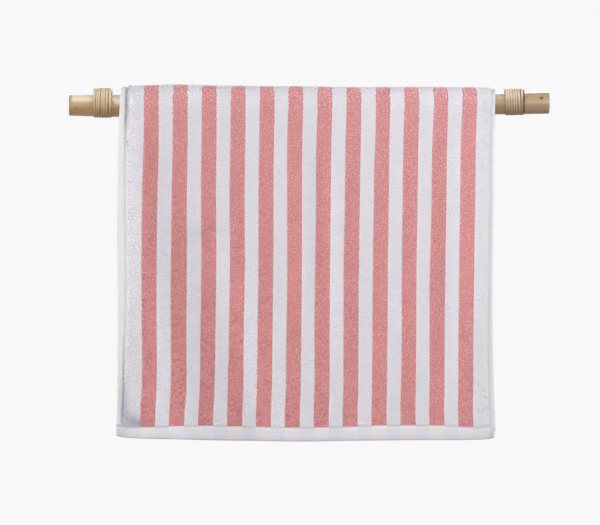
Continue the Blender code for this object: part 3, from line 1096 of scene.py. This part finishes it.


# Colours of the cotton
# The grey of painted shade: in the stitched groove, beside the left hem, on the rough margins and at the
# front hem's lowest edge
PAINTED_SHADE = (0.330, 0.320, 0.390, 1.0)
SIDE_HEM_WHITES = [(0.730, 0.725, 0.735, 1.0), (0.780, 0.775, 0.785, 1.0)]
END_HEM_WHITES = [(0.685, 0.655, 0.710, 1.0), (0.735, 0.705, 0.755, 1.0)]
FADED_CORAL = (0.840, 0.755, 0.785, 1.0)
THREAD_WHITES = [(0.780, 0.770, 0.800, 1.0), (0.850, 0.840, 0.870, 1.0)]
WHITE_YARN = (0.838, 0.792, 0.874, 1.0)
WHITE_SHADE = (0.823, 0.777, 0.860, 1.0)
CORAL_SHADE = (0.670, 0.275, 0.280, 1.0)
WHITE_STOPS = [(0.2, WHITE_SHADE), (0.8, WHITE_YARN)]
CORAL_STOPS = [
    (0.29, (0.470, 0.145, 0.150, 1.0)),
    (0.41, (0.770, 0.350, 0.352, 1.0)),
    (0.62, (0.855, 0.470, 0.470, 1.0)),
    (0.82, (0.930, 0.700, 0.700, 1.0)),
]


def pile_finish(name, stops):
    """Cotton loops: each a little lighter or darker than the next, with painted light and shade, and fibres
    as fine bump.
    """
    finish = Finish(name)
    place, across = finish.on_map()[:2]
    own = finish.add("ShaderNodeTexWhiteNoise", {"noise_dimensions": "2D"}, {"Vector": place})
    specks = finish.noise(finish.object_place(), 850.0, 1.0)
    height = finish.parts(finish.object_place())[2]
    # Painted light: besides their own tones, the loops grow lighter towards the top, towards the right and
    # over the rod
    share = own * 0.35 + specks * 0.65 + (height + 0.26) * 0.34
    share = share + (across - 0.20) * 0.18 + height.within(-0.020, 0.020) * 0.05
    colour = finish.ramp(share, stops)
    # Painted shade: loops beside the left hem and on the rough margins are blended towards the shade grey
    shade = finish.on_map("dents")[1]
    uneven = finish.noise(place, 150.0, 2.0).within(0.36, 0.62) * 0.40 + 0.60
    colour = finish.blend(shade * uneven * 0.8, colour, PAINTED_SHADE)
    fibres = finish.noise(finish.object_place(), 2600.0, 1.0)
    finish.bump(fibres, 0.00020, 0.6)
    return finish.finish(colour, 0.92, Sheen_Weight=0.12, Sheen_Roughness=0.6, Specular_IOR_Level=0.2)


def terry_finish():
    """Ground cloth and hems: a plain weave, coral under the coral stripes, which show faintly on the hems."""
    finish = Finish("terry_cloth")
    place, across, along = finish.on_map()
    wander = (finish.noise(place, 420.0, 1.0) - 0.5) * 0.0012
    from_first = across + wander - FIRST_STRIPE - STRIPE_WIDTH / 2.0 + STRIPE_PITCH / 2.0
    from_middle = ((from_first / STRIPE_PITCH).fraction() - 0.5).absolute() * STRIPE_PITCH
    stripe = (from_middle < STRIPE_WIDTH / 2.0) * (across > STRIPES_FROM) * (across < STRIPES_TO)
    inside, groove = finish.on_map("border")[1:]
    faded = stripe * (inside < 0.0) * 0.35
    by_coral = 1 - stripe * 0.80
    stripe = stripe * (inside > 0.0)
    cloudy = finish.noise(place, 90.0, 2.0)
    side = finish.blend(cloudy, *SIDE_HEM_WHITES)
    end = finish.blend(cloudy, *END_HEM_WHITES)
    white = finish.blend((along < END_HEM_SHOWN) + (along > TOWEL_LENGTH - END_HEM_SHOWN), side, end)
    white = finish.blend(faded, white, FADED_CORAL)
    # Painted shade on the ground cloth beside the left hem
    painted_dent_shade = finish.on_map("dents")[1]
    white = finish.blend(painted_dent_shade * (inside > 0.0) * 0.8, white, PAINTED_SHADE)
    # Painted shade: a ragged dark line along the stitched groove beside the hems, darker where the groove
    # sinks deeper and fainter under the coral stripes
    ragged = (finish.noise(place, 560.0, 2.0) - 0.5) * 0.0050
    painted_shade_line = 1 - (inside + 0.0010 + ragged).absolute().within(0.0005, 0.0027)
    broken = finish.noise(place, 300.0, 2.0).within(0.40, 0.58)
    depth = groove.within(0.0010, 0.0024)
    white = finish.blend(painted_shade_line * by_coral * (depth * 0.8 * (broken * 0.6 + 0.4) + 0.27), white, PAINTED_SHADE)
    # Painted shade along the front hem's lowest edge, where it rolls under
    white = finish.blend((1 - along.within(0.0045, 0.0085)) * 0.10, white, PAINTED_SHADE)
    colour = finish.blend(stripe, white, CORAL_SHADE)
    warp = (across * (2.0 * math.pi / WEAVE_PITCH)).sine()
    weft = (along * (2.0 * math.pi / WEAVE_PITCH)).sine()
    weave = warp * weft * 0.5 + finish.noise(place, 700.0, 2.0)
    finish.bump(weave, 0.00016, 0.7)
    return finish.finish(colour, 0.88, Sheen_Weight=0.10, Sheen_Roughness=0.5, Specular_IOR_Level=0.25)


def thread_finish():
    """White sewing thread, twisted."""
    finish = Finish("sewing_thread")
    twist = finish.noise(finish.object_place(), 2200.0, 1.0)
    colour = finish.blend(twist, *THREAD_WHITES)
    finish.bump(twist, 0.00010, 0.5)
    return finish.finish(colour, 0.7)


# Colours of the wood: warm towards the left end and dull towards the right one, on top and underneath
# The paler stops on top are mostly painted light and the darker ones underneath mostly painted shade, partly
# the wood's own tone
WARM_PAINTED_LIGHT_STOPS = [
    (0.34, (0.800, 0.610, 0.400, 1.0)),
    (0.48, (0.890, 0.730, 0.535, 1.0)),
    (0.66, (0.940, 0.810, 0.640, 1.0)),
]
WARM_PAINTED_SHADE_STOPS = [
    (0.34, (0.220, 0.110, 0.030, 1.0)),
    (0.48, (0.360, 0.210, 0.080, 1.0)),
    (0.66, (0.470, 0.305, 0.145, 1.0)),
]
DULL_PAINTED_LIGHT_STOPS = [
    (0.34, (0.310, 0.198, 0.102, 1.0)),
    (0.48, (0.412, 0.288, 0.163, 1.0)),
    (0.66, (0.486, 0.360, 0.215, 1.0)),
]
DULL_PAINTED_SHADE_STOPS = [
    (0.34, (0.195, 0.114, 0.057, 1.0)),
    (0.48, (0.285, 0.190, 0.108, 1.0)),
    (0.66, (0.355, 0.254, 0.150, 1.0)),
]
PAINTED_REFLECTED_LIGHT_WOOD = (0.560, 0.430, 0.300, 1.0)
OCHRE_WOOD = (0.305, 0.180, 0.050, 1.0)
LEFT_RIM_WOOD = (0.230, 0.190, 0.150, 1.0)
RIGHT_RIM_WOOD = (0.420, 0.360, 0.300, 1.0)
KNOT_WOOD = (0.085, 0.038, 0.015, 1.0)
PAINTED_CONTACT_SHADOW = (0.075, 0.034, 0.014, 1.0)


def wood_finish():
    """Pale natural wood, satin: warm at the left and dull at the right, ochre in places, with darker ends."""
    finish = Finish("natural_wood")
    place = finish.object_place()
    grain = finish.noise(finish.stretched(place, (7.0, 150.0, 150.0)), 1.0, 5.0, 0.6)
    fine = finish.noise(finish.stretched(place, (30.0, 900.0, 900.0)), 1.0, 3.0, 0.6)
    cloudy = finish.noise(finish.stretched(place, (26.0, 70.0, 70.0)), 1.0, 3.0)
    tone = grain * 0.5 + fine * 0.3 + cloudy * 0.2
    along, _, height = finish.parts(place)
    # Painted light and shade: paler on top of the rod and darker underneath, partly the wood's own tone
    upper = height.within(-0.002, 0.008)
    warm = finish.blend(upper, finish.ramp(tone, WARM_PAINTED_SHADE_STOPS), finish.ramp(tone, WARM_PAINTED_LIGHT_STOPS))
    dull = finish.blend(upper, finish.ramp(tone, DULL_PAINTED_SHADE_STOPS), finish.ramp(tone, DULL_PAINTED_LIGHT_STOPS))
    left_end, right_end = (corner.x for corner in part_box("rod"))
    colour = finish.blend((along - left_end) / (right_end - left_end), warm, dull)
    # Painted reflected light: the rod's lowest strip is lighter
    lowest = (0 - height).within(0.0108, 0.0145) * 0.65
    colour = finish.blend(lowest, colour, PAINTED_REFLECTED_LIGHT_WOOD)
    ochre = cloudy.within(0.54, 0.66) * 0.45
    for mark in OCHRE_MARKS:
        ochre = ochre + mark_share(finish, place, mark)
    colour = finish.blend(ochre, colour, OCHRE_WOOD)
    # Painted light: pale patches between the towel and each winding, lifting the shadow there
    for mark, painted_light_colour in zip(PAINTED_LIGHT_MARKS, PAINTED_LIGHT_WOODS):
        colour = finish.blend(mark_share(finish, place, mark), colour, painted_light_colour)
    # Painted shadow: a dark line round the rod where the right winding's outer edge meets it
    painted_shade_line = 1 - (along + 0.0005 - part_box("binding_right")[1].x).absolute().within(0.0006, 0.0014)
    colour = finish.blend(painted_shade_line * 0.95, colour, PAINTED_CONTACT_SHADOW)
    left_rim = (0 - along).within(0.3105, 0.3165) * 0.85
    right_rim = along.within(0.3130, 0.3168) * 0.40
    colour = finish.blend(left_rim, colour, LEFT_RIM_WOOD)
    colour = finish.blend(right_rim, colour, RIGHT_RIM_WOOD)
    knot = mark_share(finish, place, KNOT) + mark_share(finish, place, GRAIN_LINE)
    colour = finish.blend(knot, colour, KNOT_WOOD)
    finish.bump(tone - knot * 0.6, 0.00025, 0.5)
    return finish.finish(colour, tone * 0.20 + 0.28, Specular_IOR_Level=0.6)


def mark_share(finish, place, mark):
    """Strongest in the middle of a mark in the rod's front, fading to 0 at its edge."""
    height = mark.z * MM
    middle = (mark.x * MM, -math.sqrt(ROD_RADIUS ** 2 - height ** 2), height)
    scale = (1.0 / (mark.length * MM), 1.0 / (mark.height * MM), 1.0 / (mark.height * MM))
    offset = finish.add("ShaderNodeVectorMath", {"operation": "SUBTRACT"}, {0: place, 1: middle})
    scaled = finish.stretched(offset, scale)
    distance = finish.add("ShaderNodeVectorMath", {"operation": "LENGTH"}, {0: scaled}, output=1)
    return (1 - distance.within(0.35, 1.0)) * mark.strength


RATTAN_STOPS = [
    (0.30, (0.400, 0.250, 0.125, 1.0)),
    (0.52, (0.580, 0.420, 0.260, 1.0)),
    (0.72, (0.700, 0.560, 0.400, 1.0)),
]
PAINTED_SHADE_UNDER_RATTAN = (0.330, 0.170, 0.058, 1.0)
RIGHT_RATTAN = (0.290, 0.200, 0.135, 1.0)
PAINTED_LIGHT_TOP_RATTAN = (0.870, 0.710, 0.540, 1.0)
OLIVE_RATTAN = (0.470, 0.420, 0.200, 1.0)
PAINTED_EDGE_SHADE_RATTAN = (0.115, 0.050, 0.020, 1.0)
PAINTED_SHADOW_RATTAN = (0.110, 0.048, 0.020, 1.0)


def rattan_finish():
    """Split rattan: glossy skin with fine lengthwise lines, browner in places, and painted shade at its
    edges.
    """
    finish = Finish("rattan")
    place, across = finish.on_map()[:2]
    lines = finish.noise(finish.stretched(place, (3200.0, 60.0, 1.0)), 1.0, 3.0)
    patches = finish.noise(finish.stretched(place, (200.0, 40.0, 1.0)), 1.0, 2.0)
    tone = lines * 0.45 + patches * 0.55
    colour = finish.ramp(tone, RATTAN_STOPS)
    x, _, height = finish.parts(finish.object_place())
    right = x.within(-0.1, 0.1)
    # Painted shade underneath the windings and painted light on their tops
    under = 1 - height.within(-0.012, 0.006)
    colour = finish.blend(under * 0.75, colour, PAINTED_SHADE_UNDER_RATTAN)
    colour = finish.blend(right * 0.42, colour, RIGHT_RATTAN)
    colour = finish.blend(height.within(0.004, 0.014) * 0.60, colour, PAINTED_LIGHT_TOP_RATTAN)
    # Painted shade in the gaps between the turns, along each strand's edges, weaker on top
    edge = (across / 0.0031 - 0.5).absolute() * 2.0
    dark = 0.97 - height.within(0.008, 0.019) * 0.35
    colour = finish.blend(edge.within(0.38, 0.80) * dark, colour, PAINTED_EDGE_SHADE_RATTAN)
    olive = height.within(0.0165, 0.0205) * (1 - right) * 0.45
    colour = finish.blend(olive, colour, OLIVE_RATTAN)
    # Painted shadow on the outer side of the right winding's last turn, below its top
    last_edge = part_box("binding_right")[1].x
    gap = x.within(last_edge - 0.0036, last_edge - 0.0022) * (1 - height.within(0.009, 0.016)) * 0.85
    colour = finish.blend(gap, colour, PAINTED_SHADOW_RATTAN)
    finish.bump(lines, 0.00012, 0.5)
    return finish.finish(colour, tone * 0.2 + 0.38)


def floor_finish():
    """A matt pale studio floor."""
    finish = Finish("studio_floor")
    tone = finish.noise(finish.object_place(), 3.0, 2.0)
    glow = finish.blend(tone, *FLOOR_GLOWS)
    finish.put(finish.shader.inputs["Emission Color"], glow)
    return finish.finish(FLOOR_GREY, 0.9, Emission_Strength=0.85)


def make_floor():
    """A wide floor well under the towel, which lights nothing."""
    bpy.ops.mesh.primitive_plane_add(size=FLOOR_SIZE, location=(0.0, 0.0, FLOOR_HEIGHT))
    floor = bpy.context.object
    floor.name = "studio_floor"
    floor.data.materials.append(floor_finish())
    floor.visible_diffuse = False
    floor.visible_glossy = False


def make_world():
    """An even pale room."""
    world = bpy.data.worlds.new("studio")
    bpy.context.scene.world = world
    world.use_nodes = True
    nodes = world.node_tree.nodes
    links = world.node_tree.links
    ray = nodes.new("ShaderNodeLightPath")
    seen = nodes.new("ShaderNodeMath")
    strength = nodes.new("ShaderNodeMix")
    strength.inputs[2].default_value = ROOM_LIGHT
    strength.inputs[3].default_value = ROOM_SHOWN
    background = nodes["Background"]
    background.inputs[0].default_value = (1.0, 1.0, 1.0, 1.0)
    links.new(ray.outputs["Is Camera Ray"], seen.inputs[0])
    links.new(ray.outputs["Is Glossy Ray"], seen.inputs[1])
    links.new(seen.outputs[0], strength.inputs[0])
    links.new(strength.outputs[0], background.inputs[1])


def make_light(light):
    """A soft box that the camera doesn't see."""
    lamp = bpy.data.lights.new(light.name, "AREA")
    lamp.size = light.size
    lamp.energy = light.power
    azimuth = math.radians(light.azimuth)
    elevation = math.radians(light.elevation)
    holder = bpy.data.objects.new(light.name, lamp)
    holder.location = (
        light.distance * math.sin(azimuth) * math.cos(elevation),
        -light.distance * math.cos(azimuth) * math.cos(elevation),
        light.distance * math.sin(elevation) + LIGHT_AIM,
    )
    holder.rotation_euler = (math.pi / 2.0 - elevation, 0.0, azimuth)
    holder.visible_camera = False
    bpy.context.scene.collection.objects.link(holder)


def make_camera():
    """Level with the middle of the picture and square on to the cloth."""
    camera = bpy.data.cameras.new("camera")
    camera.sensor_width = SENSOR_WIDTH
    camera.lens = SENSOR_WIDTH * CAMERA_DISTANCE / PICTURE_WIDTH
    holder = bpy.data.objects.new("camera", camera)
    holder.location = (CAMERA_AIM[0], CAMERA_AIM[1] - CAMERA_DISTANCE, CAMERA_AIM[2])
    holder.rotation_euler = (math.pi / 2.0, 0.0, 0.0)
    bpy.context.scene.collection.objects.link(holder)
    bpy.context.scene.camera = holder


def make_towel():
    """The sheet, its pile on both faces and its stitching."""
    materials = {
        "white": pile_finish("white_pile", WHITE_STOPS),
        "coral": pile_finish("coral_pile", CORAL_STOPS),
    }
    sheet = make_sheet(terry_finish())
    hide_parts("towel")
    on_it = [make_stitches(thread_finish())]
    for number, pile in enumerate(PILES):
        on_it += make_pile(pile, materials, PILE_SEED + 10 * number)


def main():
    """The camera, the object's pieces, and the room with its lights."""
    make_camera()
    make_rod(wood_finish())
    rattan = rattan_finish()
    for number, winding in enumerate(WINDINGS):
        make_winding(winding, rattan, STRAND_SEED + number)
        make_tucked_ends(winding, rattan)
    make_towel()
    make_floor()
    make_world()
    for light in LIGHTS:
        make_light(light)
    bpy.context.scene.view_settings.view_transform = "Standard"


main()
